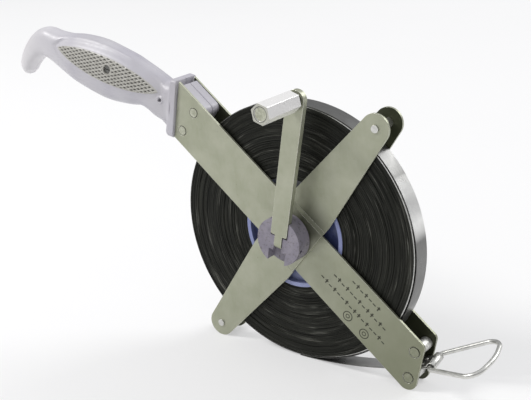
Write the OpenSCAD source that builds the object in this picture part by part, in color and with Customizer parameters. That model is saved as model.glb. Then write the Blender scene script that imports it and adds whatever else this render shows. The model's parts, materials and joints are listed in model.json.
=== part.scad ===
// Open-frame surveyor tape reel: 50 m of 10 mm steel tape on a crank drum between two crossed frame sides.
// Every module is drawn in reel space: X right, Y to the back, Z up, with its origin on the spindle axis
// at the outer face of the front main bar. reel_space() then moves it so that the reel stands on Z = 0.

/* [Tape] */
// Width of the steel tape
tape_w = 10; // [9:0.5:12]
// Thickness of the steel tape
tape_t = 0.25; // [0.2:0.05:0.3]
// Outer radius of the wound tape
pack_r = 66.6; // [60:0.2:66.8]
// Radius of the drum under the tape
drum_r = 28.8; // [27:0.2:32]
// Widest gap between the wound tape and its loose outer turn
loose_gap = 0.8; // [0.6:0.1:1]
// Direction of that widest gap, in degrees from +X
loose_angle = -20; // [-60:5:60]
// Gap between the tape and each side of the frame
side_clear = 0.6; // [0.5:0.05:1.2]

/* [Frame] */
// Thickness of the frame plates
plate_t = 1.2; // [1:0.1:1.5]
// Width of the main bars
bar_w = 27.2; // [26:0.2:29]
// Slope of the main bars, in degrees from +X
bar_angle = -38.9; // [-41:0.1:-37]
// Distance from the spindle to the upper guide pin, along the bar
upper_guide_s = 83.3; // [82:0.1:85]
// Distance from the spindle to the lower guide pin, along the bar
lower_guide_s = 89.8; // [88:0.1:91]
// Distance from the spindle to each rod at the cross arm's ends
arm_reach = 78.4; // [77:0.1:80]
// Radius of the cross arm's round ends
arm_tip_r = 7.3; // [6.6:0.1:8]
// Half width of the cross arm at its middle
arm_mid_half = 12.8; // [12:0.1:13.4]
// Half length over which the cross arm keeps its full width
arm_mid_len = 21; // [18:0.5:24]
// Length of the step where the cross arm climbs over the main bar
joggle_len = 1.6; // [1.2:0.1:3]

/* [Drum and crank] */
// Radius of the crank hub
hub_r = 12.5; // [12:0.1:13]
// Distance from the frame to the front face of the crank hub
hub_front = 11.3; // [11:0.1:12]
// Direction of the crank arm, in degrees from +X
crank_angle = 79.3; // [60:0.1:110]
// Distance from the spindle to the knob
crank_r = 74.4; // [73:0.1:76]
// Half width of the crank arm at the hub
crank_half = 4.7; // [4:0.1:4.8]
// Radius of the crank arm's round end
crank_tip_r = 5; // [4.9:0.1:6]
// Depth of the crank arm's channel section
crank_depth = 3; // [2.6:0.1:3.2]
// Length of the crank knob
knob_len = 24.8; // [20:0.1:30]
// Radius of the six-sided knob over its corners
knob_r = 5.3; // [5:0.1:5.8]

/* [Handle] */
// Direction of the handle, in degrees from +X
handle_angle = 168.5; // [165:0.5:172]
// Place of the handle's guard along the main bar
handle_s = -93.4; // [-94:0.1:-93]
// Place of the handle's guard across the main bar
handle_t = -2.1; // [-2.4:0.1:-1.8]
// Thickness of the guard
guard_t = 4.1; // [3.5:0.1:4.3]
// Half height of the guard
guard_half = 16; // [15.5:0.1:17]
// How far the guard stands out past each frame side
guard_proud = 1.7; // [1:0.1:3]
// Wall thickness of the handle shells
shell_wall = 2.2; // [1.8:0.1:2.6]

/* [End ring] */
// Place of the ring's bar, right of the spindle
ring_x = 76.5; // [76:0.1:78]
// Place of the ring's bar, below the spindle
ring_drop = 53; // [52.6:0.1:53.6]
// Slope of the tape's end and of the ring
ring_pitch = 19.3; // [15:0.1:22]
// Twist of the tape's end about its own length
ring_twist = 8.5; // [0:0.5:10]
// Length of the ring
ring_len = 31; // [28:0.5:34]
// Half width of the ring at its far end
ring_half = 17; // [15:0.5:19]
// Diameter of the ring's wire
ring_wire = 2.4; // [2:0.1:2.6]

/* [Hidden] */
$fn = 64;
fit = 0.02;             // gap of a fixed fit, on the radius
run = 0.06;             // gap of a running fit, on the radius
part_gap = 0.3;         // gap between pieces that move past each other
proud = 0.12;           // how far a closed rivet stands out

// Frame
frame_gap = tape_w + 2 * side_clear;
frame_depth = frame_gap + 2 * plate_t;
mid_y = frame_depth / 2;
back_in_y = plate_t + frame_gap;
bar_half = bar_w / 2;
rivet_t = bar_w / 4;    // guide pins and handle rivets sit a quarter of the width off centre
arm_angle = bar_angle + 90;
foot_drop = arm_reach * sin(arm_angle) + arm_tip_r;
bar_corner_r = 3;
bar_foot_r = 5.4;
bar_foot_t = bar_foot_r - bar_half;
bar_foot_s = (foot_drop - bar_foot_r + bar_foot_t * cos(bar_angle)) / -sin(bar_angle);
guide_head_r = 2.65;
guide_pin_r = 2;
roller_r = 3.2;
rivet_groove = 0.25;    // a rivet head lies in a hole this much wider, on the radius
rivet_groove_depth = 0.3;
tip_rod_r = 1.9;
tip_sleeve_r = 2.4;
tip_end_proud = 0.7;
handle_rivet_r = 2.5;
handle_rivet_s = -80.4;
joggle_s = bar_half + 0.5;
joggle_shift = plate_t * tan(atan(plate_t / joggle_len) / 2);
front_bush_r = 8.4;
rear_bush_r = 5.4;
bush_flange_r = 11;
bush_flange_t = 0.8;

// Drum, spindle and hub
tape_y = plate_t + side_clear;
tape_back_y = tape_y + tape_w;
journal_r = 7;
spindle_r = 3;
spindle_head_r = 4.4;
spindle_head_t = 1;
hub_back = plate_t + bush_flange_t + part_gap;
socket_depth = 4;
drum_rim = 2.2;
drum_boss_r = 11;
drum_recess = 3;
key_w = 2;
key_len = 3.6;
anchor_angle = 141;
anchor_w = 8;
anchor_depth = 6;
anchor_step = 0.3;      // the block round the slot lies this far below the drum's rim
anchor_pin_r = 1;
washer_r = 8;
washer_t = 0.4;
outer_turn_r = pack_r + fit + loose_gap / 2;
swept_r = outer_turn_r + tape_t + loose_gap / 2;

// Crank
crank_front = hub_front + 0.5;
crank_back = crank_front - crank_depth;
crank_wall = 0.9;
fold_offset = 1.2;      // the fold pin sits this far past the spindle, away from the knob
knuckle_r = 2.8;
fold_depth = crank_front - knuckle_r;
shoulder_u = 4.75 - fold_offset;
lug_half = 3.9;
tongue_half = 2.1;
slot_half = crank_half + 0.3;
fold_pin_r = 1;
fold_pin_half = 10.8;
knob_pin_r = 2;
knob_head_r = 3.2;
knob_head_t = 1.1;
knob_recess = knob_head_t + part_gap;
knob_washer_r = 3.7;
knob_washer_t = 1.7;
knob_turn = 37;         // turn of the knob's flats about its pin
knob_near = crank_front + knob_washer_t + part_gap;
knob_far = knob_near + knob_len;

// Handle. Each grip row is [along, up, half height, half thickness] at one station of the grip's spine,
// measured from the outer face of the guard.
grip = [
    [-1, 0.2, 11.6, 7.6], [8, 0.2, 11.2, 7.8], [15, 2.4, 10.9, 8.2], [22, 3.8, 11.5, 8.7],
    [31.5, 4, 13.7, 9.3], [45, 3.9, 15.4, 9.6], [57, 4.6, 15.4, 9.5], [70.5, 4.9, 13.7, 9],
    [80.5, 5.4, 11.1, 8.3], [90, 6.4, 9, 7.6], [97, 6.6, 8.6, 7], [103, 3.4, 7.4, 6.4],
    [108.2, -2.4, 6.2, 6], [111.6, -8.8, 5.3, 5.6], [112.4, -13, 4.5, 4.8], [112.2, -16, 2.6, 2.8],
    [112, -17, 0.6, 0.7]
];
grip_power = 2.4;       // above 2, the grip's section is squarer than an ellipse
steps_per_station = 2;
section_steps = 12;
plug_s = -74.5;
plug_half = 13.2;
plug_corner_r = 2.5;
cut_gap = 0.4;
joint_gap = 0.02;       // the guard's halves stop this far short of the joint, and the plug's twice as far
screw_at = [43.4, 8.1];
screw_r = 1.25;
screw_head_r = 2.2;
screw_head_t = 1.6;
screw_boss_r = 3.8;
screw_face = 9;         // the screw's head ends this far from the middle plane
lanyard_at = [6.7, 1.9];
lanyard_r = 1;
lanyard_boss_r = 2.3;
lanyard_half = 8.2;

// End ring and tape end
loop_r = 1.85;
loop_t = 0.45;
leaf_len = 9.5;
leaf_rivet_r = 0.8;
ring_bar_half = 6.9;
ring_bend_r = 2.2;
ring_corner_r = 7;
ring_far_r = 26;
ring_bulge = 1.8;
tail_start_r = swept_r + part_gap;
tail_steps = 20;

// ---------- helpers ----------

function unit(angle) = [cos(angle), sin(angle)];

// Direction of the outward normal where a line wraps from disc a to disc b, going anticlockwise
function wrap_angle(a, b) =
    let (d = [b[0] - a[0], b[1] - a[1]])
    atan2(d[1], d[0]) - acos((a[2] - b[2]) / norm(d));

function rim_point(disc, angle) = [disc[0], disc[1]] + disc[2] * unit(angle);

// Outline of a belt pulled round discs [x, y, r], listed anticlockwise
module belt(discs) {
    count = len(discs);
    polygon([
        for (i = [0 : count - 1])
            let (a = discs[i], b = discs[(i + 1) % count], angle = wrap_angle(a, b))
            each [rim_point(a, angle), rim_point(b, angle)]
    ]);
    for (disc = discs)
        translate([disc[0], disc[1]]) circle(r = disc[2]);
}

// A flat shape drawn in X and Z, as thick as y0 to y1
module slab(y0, y1) {
    translate([0, y1, 0]) rotate([90, 0, 0]) linear_extrude(y1 - y0) children();
}

// A round bar along Y
module rod(r, y0, y1) {
    translate([0, y0, 0]) rotate([-90, 0, 0]) cylinder(r = r, h = y1 - y0);
}

module tube(r_out, r_in, y0, y1) {
    difference() {
        rod(r_out, y0, y1);
        rod(r_in, y0 - 1, y1 + 1);
    }
}

// Local X along the main bar or the cross arm, local Z across it
module along_bar() { rotate([0, -bar_angle, 0]) children(); }
module along_arm() { rotate([0, -arm_angle, 0]) children(); }
module along_crank() { rotate([0, -crank_angle, 0]) children(); }

module at_back() { translate([0, frame_depth, 0]) mirror([0, 1, 0]) children(); }

module at_upper_guide() { along_bar() translate([upper_guide_s, 0, rivet_t]) children(); }
module at_lower_guide() { along_bar() translate([lower_guide_s, 0, -rivet_t]) children(); }

// Local X runs out along the handle, local Z up across it
module handle_space() {
    along_bar() translate([handle_s, 0, handle_t]) rotate([0, bar_angle - handle_angle, 0])
        mirror([0, 0, 1]) children();
}

// Local X runs along the ring, local Y along its bar
module ring_space() {
    translate([ring_x, mid_y, -ring_drop]) rotate([0, -ring_pitch, 0]) rotate([ring_twist, 0, 0])
        children();
}

// ---------- frame ----------

module main_bar_outline() {
    difference() {
        belt([
            [-110, -bar_half + 1, 1], [bar_foot_s, bar_foot_t, bar_foot_r],
            [upper_guide_s, bar_half - bar_corner_r, bar_corner_r], [-110, bar_half - 1, 1]
        ]);
        translate([handle_s, handle_t]) rotate(handle_angle - bar_angle)
            translate([-guard_t - cut_gap, -60]) square([80, 120]);
    }
}

// A hole for a closed rivet, with a shallow groove round the rivet at the plate's outer face
module rivet_hole(r) {
    rod(r + fit, -1, plate_t + 1);
    rod(r + rivet_groove, -1, rivet_groove_depth);
}

module main_bar() {
    along_bar() difference() {
        slab(0, plate_t) main_bar_outline();
        translate([upper_guide_s, 0, rivet_t]) rivet_hole(guide_head_r);
        translate([lower_guide_s, 0, -rivet_t]) rivet_hole(guide_head_r);
        for (side = [-1, 1])
            translate([handle_rivet_s, 0, side * rivet_t]) rivet_hole(handle_rivet_r);
    }
}

module cross_arm_profile() {
    reach = arm_reach + arm_tip_r + 1;
    low = joggle_s + joggle_len;
    polygon([
        [-reach, 0], [-low - joggle_shift, 0], [-joggle_s - joggle_shift, -plate_t],
        [joggle_s + joggle_shift, -plate_t], [low + joggle_shift, 0], [reach, 0],
        [reach, plate_t], [low, plate_t], [joggle_s, 0], [-joggle_s, 0], [-low, plate_t],
        [-reach, plate_t]
    ]);
}

module cross_arm() {
    corner = 1;
    along_arm() difference() {
        intersection() {
            slab(-plate_t - 1, plate_t + 1) belt([
                [arm_reach, 0, arm_tip_r],
                [arm_mid_len, arm_mid_half - corner, corner], [-arm_mid_len, arm_mid_half - corner, corner],
                [-arm_reach, 0, arm_tip_r],
                [-arm_mid_len, corner - arm_mid_half, corner], [arm_mid_len, corner - arm_mid_half, corner]
            ]);
            linear_extrude(2 * bar_w, center = true) cross_arm_profile();
        }
        for (side = [-1, 1])
            translate([side * arm_reach, 0, 0]) rod(tip_rod_r + fit, -plate_t - 2, plate_t + 2);
    }
}

module bearing_hole(r) { rod(r + fit, -plate_t - 2, plate_t + 2); }

module front_main_bar() {
    color("#a3a68c") difference() {
        main_bar();
        bearing_hole(front_bush_r);
    }
}

module back_main_bar() {
    color("#a3a68c") at_back() difference() {
        main_bar();
        bearing_hole(rear_bush_r);
    }
}

module front_cross_arm() {
    color("#a8aa91") difference() {
        cross_arm();
        bearing_hole(front_bush_r);
    }
}

module back_cross_arm() {
    color("#a8aa91") at_back() difference() {
        cross_arm();
        bearing_hole(rear_bush_r);
    }
}

module front_bush() {
    color("#d8d4c4") difference() {
        union() {
            rod(front_bush_r, -plate_t, plate_t);
            rod(bush_flange_r, -plate_t - bush_flange_t, -plate_t);
        }
        rod(journal_r + run, -plate_t - 2, plate_t + 1);
    }
}

// The rear bush is counterbored, so that the spindle's head lies below the outer face
module rear_bush() {
    head_seat = frame_depth + plate_t - spindle_head_t - 0.2;
    color("#b9a06a") difference() {
        rod(rear_bush_r, back_in_y, frame_depth + plate_t);
        rod(spindle_r + run, back_in_y - 1, frame_depth + plate_t + 1);
        rod(spindle_head_r + run, head_seat, frame_depth + plate_t + 1);
    }
}

module tip_rod(side) {
    color("#c9cac6") along_arm() translate([side * arm_reach, 0, 0])
        rod(tip_rod_r, -tip_end_proud, frame_depth + tip_end_proud);
}

module tip_sleeve(side) {
    color("#d5d6d3") along_arm() translate([side * arm_reach, 0, 0])
        tube(tip_sleeve_r, tip_rod_r + fit, plate_t + fit, back_in_y - fit);
}

module upper_tip_rod() { tip_rod(1); }
module lower_tip_rod() { tip_rod(-1); }
module upper_tip_sleeve() { tip_sleeve(1); }
module lower_tip_sleeve() { tip_sleeve(-1); }

module guide_pin() {
    color("#b8baa5") {
        rod(guide_pin_r, -proud, frame_depth + proud);
        rod(guide_head_r, -proud, plate_t);
        rod(guide_head_r, back_in_y, frame_depth + proud);
    }
}

module guide_roller() {
    color("#d9dad8") tube(roller_r, guide_pin_r + run, plate_t + part_gap, back_in_y - part_gap);
}

module upper_guide_pin() { at_upper_guide() guide_pin(); }
module lower_guide_pin() { at_lower_guide() guide_pin(); }
module upper_guide_roller() { at_upper_guide() guide_roller(); }
module lower_guide_roller() { at_lower_guide() guide_roller(); }

// ---------- handle ----------

// Smooth curve through the rows of a list, at any position along it
function spline(rows, u) =
    let (
        i = min(floor(u), len(rows) - 2),
        f = u - i,
        p0 = rows[max(i - 1, 0)], p1 = rows[i], p2 = rows[i + 1], p3 = rows[min(i + 2, len(rows) - 1)]
    )
    0.5 * (2 * p1 + (p2 - p0) * f + (2 * p0 - 5 * p1 + 4 * p2 - p3) * f * f
        + (3 * p1 - p0 - 3 * p2 + p3) * f * f * f);

grip_ends = len(grip) - 1;
ring_count = grip_ends * steps_per_station + 1;
function station(i) = spline(grip, i / steps_per_station);
function heading(i) =
    let (a = station(max(i - 1, 0)), b = station(min(i + 1, ring_count - 1)))
    atan2(b[1] - a[1], b[0] - a[0]);

function signed_root(v) = sign(v) * pow(abs(v), 2 / grip_power);

// One half of the grip's section, from its top round the front to its bottom, shrunk by inset
function half_section(i, inset) =
    let (row = station(i), across = unit(heading(i) + 90))
    [
        for (k = [0 : section_steps])
            let (
                angle = 90 - 180 * k / section_steps,
                up = max(row[2] - inset, 0.15) * signed_root(sin(angle)),
                out = max(row[3] - inset, 0.15) * signed_root(cos(angle))
            )
            [row[0] + up * across[0], mid_y - out, row[1] + up * across[1]]
    ];

grip_points = [
    for (i = [0 : ring_count - 1])
        each concat(half_section(i, 0), half_section(i, shell_wall))
];

// Half of the hollow grip: an outer skin, an inner skin and the joint faces between them
module half_grip() {
    row = section_steps + 1;
    stride = 2 * row;
    last = ring_count - 1;
    function pair(a, b, c, d) = [[a, c, b], [a, d, c]];
    polyhedron(points = grip_points, faces = [
        for (i = [0 : last - 1], k = [0 : section_steps - 1])
            let (a = i * stride + k)
            each concat(
                pair(a, a + 1, a + stride + 1, a + stride),
                pair(a + row, a + row + stride, a + row + stride + 1, a + row + 1)
            ),
        for (i = [0 : last - 1])
            let (a = i * stride, b = a + section_steps)
            each concat(
                pair(a, a + stride, a + stride + row, a + row),
                pair(b, b + row, b + stride + row, b + stride)
            ),
        for (k = [0 : section_steps - 1])
            let (a = last * stride + k)
            each concat(
                pair(k, k + row, k + row + 1, k + 1),
                pair(a, a + 1, a + 1 + row, a + row)
            )
    ]);
}

// Half of the guard, a plate across the handle's root
module half_guard() {
    corner = 1.5;
    near = -guard_proud;
    far = mid_y - joint_gap;
    translate([-guard_t, 0, 0]) rotate([90, 0, 90]) linear_extrude(guard_t) belt([
        [near + corner, corner - guard_half, corner], [far - 0.1, 0.1 - guard_half, 0.1],
        [far - 0.1, guard_half - 0.1, 0.1], [near + corner, guard_half - corner, corner]
    ]);
}

module plug_outline() {
    intersection() {
        belt([
            [-110, 1 - plug_half, 1], [plug_s - plug_corner_r, plug_corner_r - plug_half, plug_corner_r],
            [plug_s - plug_corner_r, plug_half - plug_corner_r, plug_corner_r], [-110, plug_half - 1, 1]
        ]);
        translate([handle_s, handle_t]) rotate(handle_angle - bar_angle)
            translate([-60, -60]) square([60 - guard_t / 2, 120]);
    }
}

module front_shell() {
    difference() {
        union() {
            handle_space() {
                half_grip();
                half_guard();
                translate([screw_at[0], 0, screw_at[1]]) rod(screw_boss_r, mid_y - screw_face + 0.8, mid_y);
                translate([lanyard_at[0], 0, lanyard_at[1]]) rod(lanyard_boss_r, mid_y - lanyard_half, mid_y);
            }
            along_bar() slab(plate_t + fit, mid_y - 2 * joint_gap) plug_outline();
        }
        handle_space() {
            translate([screw_at[0], 0, screw_at[1]]) {
                rod(screw_r + fit, -20, mid_y + 1);
                rod(screw_head_r + fit, -20, mid_y - screw_face + screw_head_t);
            }
            translate([lanyard_at[0], 0, lanyard_at[1]]) rod(lanyard_r, -20, mid_y + 1);
        }
        along_bar() for (side = [-1, 1])
            translate([handle_rivet_s, 0, side * rivet_t]) rod(handle_rivet_r + fit, -20, mid_y + 1);
    }
}

module handle_front_shell() { color("#c3bfd3") front_shell(); }
module handle_back_shell() { color("#bfbbd0") at_back() front_shell(); }

module handle_rivets() {
    color("#b8baa5") along_bar() for (side = [-1, 1])
        translate([handle_rivet_s, 0, side * rivet_t]) rod(handle_rivet_r, -proud, frame_depth + proud);
}

module handle_screw() {
    color("#8d8f8c") handle_space() translate([screw_at[0], 0, screw_at[1]]) difference() {
        union() {
            rod(screw_r, mid_y - screw_face, mid_y + screw_face - 0.5);
            rod(screw_head_r, mid_y - screw_face, mid_y - screw_face + screw_head_t);
        }
        translate([-4, mid_y - screw_face - 1, -0.3]) cube([8, 1.6, 0.6]);
    }
}

module handle_nut() {
    color("#8d8f8c") handle_space() translate([screw_at[0], 0, screw_at[1]])
        tube(screw_head_r, screw_r + fit, mid_y + screw_face - screw_head_t, mid_y + screw_face);
}

// ---------- drum ----------

module along_anchor() { rotate([0, -anchor_angle, 0]) children(); }

module anchor_slot(gap) {
    translate([drum_r - anchor_depth + 1, tape_y - 1, -tape_t - gap])
        cube([anchor_depth, tape_w + 2, 2 * (tape_t + gap)]);
}

module drum() {
    recess_r = drum_r - drum_rim;
    color("#3a4580") difference() {
        union() {
            difference() {
                rod(drum_r, tape_y, tape_back_y);
                tube(recess_r, drum_boss_r, tape_y - 1, tape_y + drum_recess);
                tube(recess_r, drum_boss_r, tape_back_y - drum_recess, tape_back_y + 1);
            }
            along_anchor() translate([drum_r - anchor_depth - 2, tape_y + anchor_step, -anchor_w / 2])
                cube([anchor_depth, tape_w - 2 * anchor_step, anchor_w]);
        }
        rod(journal_r + fit, tape_y - 1, tape_y + socket_depth);
        rod(spindle_r + fit, tape_y - 1, tape_back_y + 1);
        along_anchor() {
            anchor_slot(0.1);
            translate([drum_r - anchor_depth + 1, 0, 0]) rod(anchor_pin_r + fit, tape_y - 1, tape_back_y + 1);
        }
        translate([journal_r - 1, tape_y - 1, -key_w / 2 - fit])
            cube([key_w + fit, socket_depth + 1, key_w + 2 * fit]);
    }
}

module spindle() {
    tail = frame_depth + plate_t - 0.1;
    color("#c4c6c3") {
        rod(spindle_r, -5, tail);
        rod(spindle_head_r, tail - spindle_head_t, tail);
    }
}

module thrust_washer() {
    color("#e6e2d2") tube(washer_r, spindle_r + fit, tape_back_y + 0.05, tape_back_y + 0.05 + washer_t);
}

module drive_key() {
    color("#9a9c99") translate([journal_r - 1 + fit, tape_y + socket_depth - key_len, -key_w / 2])
        cube([key_w - fit, key_len - fit, key_w]);
}

// The tape's inner end is turned in through the drum's slot and held by the anchor pin
module tape_anchor() {
    color("#3b3d38") along_anchor()
        translate([drum_r - anchor_depth + 1 + anchor_pin_r + 0.1, tape_y + 0.2, -tape_t / 2])
            cube([anchor_depth - 1 - anchor_pin_r - 0.2, tape_w - 0.4, tape_t]);
}

module anchor_pin() {
    color("#9a9c99") along_anchor() translate([drum_r - anchor_depth + 1, 0, 0])
        rod(anchor_pin_r, tape_y + 0.2, tape_back_y - 0.2);
}

// ---------- tape ----------

module tape_pack() {
    color("#2f312d") tube(pack_r, drum_r + fit, tape_y, tape_back_y);
}

module tape_outer_turn() {
    shift = loose_gap / 2 * unit(loose_angle);
    color("#b9bbb8") translate([shift[0], 0, shift[1]])
        tube(outer_turn_r + tape_t, outer_turn_r, tape_y, tape_back_y);
}

// The free end leaves the wound tape at its lowest point and bends up, on one arc, into the end loop
leaf_back = [ring_x, -ring_drop] - leaf_len * unit(ring_pitch);
leaf_tip = [ring_x, -ring_drop] - (loop_r + loop_t) * unit(ring_pitch);
function chord_error(slope) =
    let (start = tail_start_r * [sin(slope), -cos(slope)], d = leaf_back - start)
    atan2(d[1], d[0]) - (slope + ring_pitch) / 2;
function solve_slope(low, high, turns) =
    let (mid = (low + high) / 2)
    turns == 0 ? mid
    : chord_error(mid) * chord_error(low) > 0 ? solve_slope(mid, high, turns - 1)
    : solve_slope(low, mid, turns - 1);
tail_slope = solve_slope(-5, ring_pitch - 2, 30);
tail_start = tail_start_r * [sin(tail_slope), -cos(tail_slope)];
tail_arc_r = norm(leaf_back - tail_start) / (2 * sin((ring_pitch - tail_slope) / 2));
function tail_point(slope) =
    tail_start + tail_arc_r * [sin(slope) - sin(tail_slope), cos(tail_slope) - cos(slope)];

// Corners of the strip's section at one place, turned by its slope and its twist
function strip_corners(at, slope, twist) = [
    for (corner = [[-1, -1], [1, -1], [1, 1], [-1, 1]])
        let (
            across = corner[0] * (tape_w / 2 - 0.1),
            thick = corner[1] * tape_t / 2,
            up = thick * cos(twist) + across * sin(twist)
        )
        [
            at[0] - up * sin(slope), mid_y + across * cos(twist) - thick * sin(twist),
            at[1] + up * cos(slope)
        ]
];

module tape_tail() {
    sections = concat(
        [
            for (i = [0 : tail_steps])
                let (part = i / tail_steps, slope = tail_slope + part * (ring_pitch - tail_slope))
                strip_corners(tail_point(slope), slope, ring_twist * pow(part, 4))
        ],
        [strip_corners(leaf_tip, ring_pitch, ring_twist)]
    );
    last = len(sections) - 1;
    color("#a9aba8") polyhedron(
        points = [for (section = sections) each section],
        faces = [
            [3, 2, 1], [3, 1, 0],
            [4 * last, 4 * last + 1, 4 * last + 2], [4 * last, 4 * last + 2, 4 * last + 3],
            for (i = [0 : last - 1], k = [0 : 3])
                let (a = 4 * i + k, b = 4 * i + (k + 1) % 4)
                each [[a, b, b + 4], [a, b + 4, a + 4]]
        ]
    );
}

// A strip of sheet folded round the ring's bar, with both leaves clamped on the end of the tape
module tape_end_loop() {
    outer = loop_r + loop_t;
    half = tape_w / 2;
    clamp = tape_t / 2 + fit;
    color("#c6c8c2") ring_space() difference() {
        union() {
            rod(outer, -half, half);
            for (side = [-1, 1])
                translate([-leaf_len, -half, side > 0 ? clamp : -clamp - loop_t])
                    cube([leaf_len - loop_r, tape_w, loop_t]);
        }
        rod(loop_r, -half - 1, half + 1);
        translate([-leaf_len - 1, -half - 1, -clamp]) cube([leaf_len, tape_w + 2, 2 * clamp]);
        for (side = [-1, 1])
            translate([-leaf_len / 2 - 1, side * half / 2, -3]) cylinder(r = leaf_rivet_r + fit, h = 6);
    }
}

module end_loop_rivets() {
    top = tape_t / 2 + fit + loop_t + 0.25;
    color("#d2d3cf") ring_space() for (side = [-1, 1], face = [-1, 1])
        translate([-leaf_len / 2 - 1, side * tape_w / 4, face > 0 ? tape_t / 2 + fit : -top])
            cylinder(r = leaf_rivet_r, h = top - tape_t / 2 - fit);
}

// Corners of the ring's centre line [along, across, bend radius], listed anticlockwise
ring_corners = [
    [0, -ring_bar_half, ring_bend_r], [ring_len - ring_bulge, -ring_half, ring_corner_r],
    [ring_len + ring_bulge, 0, ring_far_r], [ring_len - ring_bulge, ring_half, ring_corner_r],
    [0, ring_bar_half, ring_bend_r]
];
function corner_point(i) = let (c = ring_corners[(i + 5) % 5]) [c[0], c[1]];
function side_angle(i) = let (d = corner_point(i + 1) - corner_point(i)) atan2(d[1], d[0]);
function corner_turn(i) = (side_angle(i) - side_angle(i - 1) + 720) % 360;
function bend_length(i) = ring_corners[(i + 5) % 5][2] * tan(corner_turn(i) / 2);

// Places [x, y, heading] round one bend of the ring's centre line
function bend_path(i) =
    let (
        start = corner_point(i) - bend_length(i) * unit(side_angle(i - 1)),
        centre = start + ring_corners[i][2] * unit(side_angle(i - 1) + 90),
        steps = ceil(corner_turn(i) / 12)
    )
    [
        for (k = [0 : steps])
            let (
                angle = side_angle(i - 1) + corner_turn(i) * k / steps,
                at = centre + ring_corners[i][2] * unit(angle - 90)
            )
            [at[0], at[1], angle]
    ];
ring_path = [for (i = [0 : 4]) each bend_path(i)];

// A closed loop of wire. The plain bar that swings in the tape's end loop is a true cylinder.
module end_ring() {
    sides = 16;
    wire_r = ring_wire / 2;
    count = len(ring_path);
    color("#cfd0cb") ring_space() {
        polyhedron(
            points = [
                for (place = ring_path, k = [0 : sides - 1])
                    let (out = wire_r * unit(360 * k / sides), across = unit(place[2] - 90))
                    [place[0] + out[0] * across[0], place[1] + out[0] * across[1], out[1]]
            ],
            faces = [
                for (i = [0 : count - 1], k = [0 : sides - 1])
                    let (
                        a = i * sides + k, b = i * sides + (k + 1) % sides,
                        c = (i + 1) % count * sides + (k + 1) % sides, d = (i + 1) % count * sides + k
                    )
                    each [[a, b, c], [a, c, d]]
            ]
        );
        rod(wire_r + 0.01, ring_bend_r * 0.8 - ring_bar_half, ring_bar_half - ring_bend_r * 0.8);
    }
}

// ---------- crank ----------

// A block in crank space that reaches from u0 to u1 along the arm and from y0 to y1
module crank_block(u0, u1, half_width, y0, y1) {
    translate([u0, y0, -half_width]) cube([u1 - u0, y1 - y0, 2 * half_width]);
}

module fold_axis(r, half_len) {
    translate([-fold_offset, -fold_depth, -half_len]) cylinder(r = r, h = 2 * half_len);
}

// The hub has a wide slot for the arm in use, a deeper one for the folded arm, and two lugs between them
module crank_hub() {
    lug_low = -fold_offset - lug_half;
    lug_high = -fold_offset + lug_half;
    folded_front = 2 * fold_depth - crank_front;
    color("#b9b3c6") difference() {
        union() {
            rod(hub_r, -hub_front, -hub_back);
            rod(journal_r, -hub_back - 1, tape_y + socket_depth - fit);
        }
        along_crank() {
            crank_block(lug_high, hub_r + 1, slot_half, -hub_front - 1, -crank_back + part_gap);
            crank_block(-hub_r - 1, lug_low, slot_half, -hub_front - 1, -folded_front + part_gap);
            crank_block(lug_low - 1, lug_high + 1, tongue_half + part_gap, -hub_front - 1,
                -fold_depth + knuckle_r + part_gap);
            fold_axis(fold_pin_r + fit, hub_r + 1);
        }
        rod(spindle_r + fit, -5.1, 10);
        translate([journal_r - 1, tape_y, -key_w / 2 - fit])
            cube([key_w, socket_depth + 1, key_w + 2 * fit]);
    }
}

module fold_pin() {
    color("#c4c6c3") along_crank() fold_axis(fold_pin_r, fold_pin_half);
}

module crank_outline() {
    corner = 0.8;
    half = crank_half - corner;
    belt([
        [shoulder_u + corner, -half, corner], [crank_r, 0, crank_tip_r], [shoulder_u + corner, half, corner]
    ]);
}

// The channel's inside, open to the back
module crank_pocket() {
    near_half = crank_half - crank_wall;
    far_half = crank_tip_r - crank_wall - 0.2;
    polygon([
        [shoulder_u + crank_wall, -near_half], [crank_r, -far_half],
        [crank_r, far_half], [shoulder_u + crank_wall, near_half]
    ]);
    translate([crank_r, 0]) circle(r = crank_tip_r - crank_wall);
}

module crank_arm() {
    color("#a7aa92") along_crank() difference() {
        union() {
            difference() {
                slab(-crank_front, -crank_back) crank_outline();
                slab(-crank_front + crank_wall, 0) crank_pocket();
            }
            translate([crank_r, 0, 0]) rod(knob_pin_r + 1.4, -crank_front, -crank_back);
            crank_block(-fold_offset, shoulder_u + 2, tongue_half, -crank_front, -crank_back);
            fold_axis(knuckle_r, tongue_half);
        }
        fold_axis(fold_pin_r + run, tongue_half + 1);
        translate([crank_r, 0, 0]) rod(knob_pin_r + fit, -crank_front - 1, 0);
    }
}

module knob_pin() {
    far = knob_far - knob_recess + knob_head_t;
    color("#b6b9ae") along_crank() translate([crank_r, 0, 0]) {
        rod(knob_pin_r, -far, -crank_back + proud);
        rod(knob_head_r, -far, -far + knob_head_t);
    }
}

module knob_washer() {
    color("#5c5d57") along_crank() translate([crank_r, 0, 0])
        tube(knob_washer_r, knob_pin_r + fit, -crank_front - knob_washer_t, -crank_front - fit);
}

module crank_knob() {
    color("#d9d9da") along_crank() translate([crank_r, 0, 0]) difference() {
        translate([0, -knob_far, 0]) rotate([-90, 0, 0]) rotate(knob_turn)
            cylinder(r = knob_r, h = knob_len, $fn = 6);
        rod(knob_pin_r + run, -knob_far - 1, 0);
        rod(knob_head_r + run, -knob_far - 1, -knob_far + knob_recess);
    }
}

// ---------- placing ----------

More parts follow.
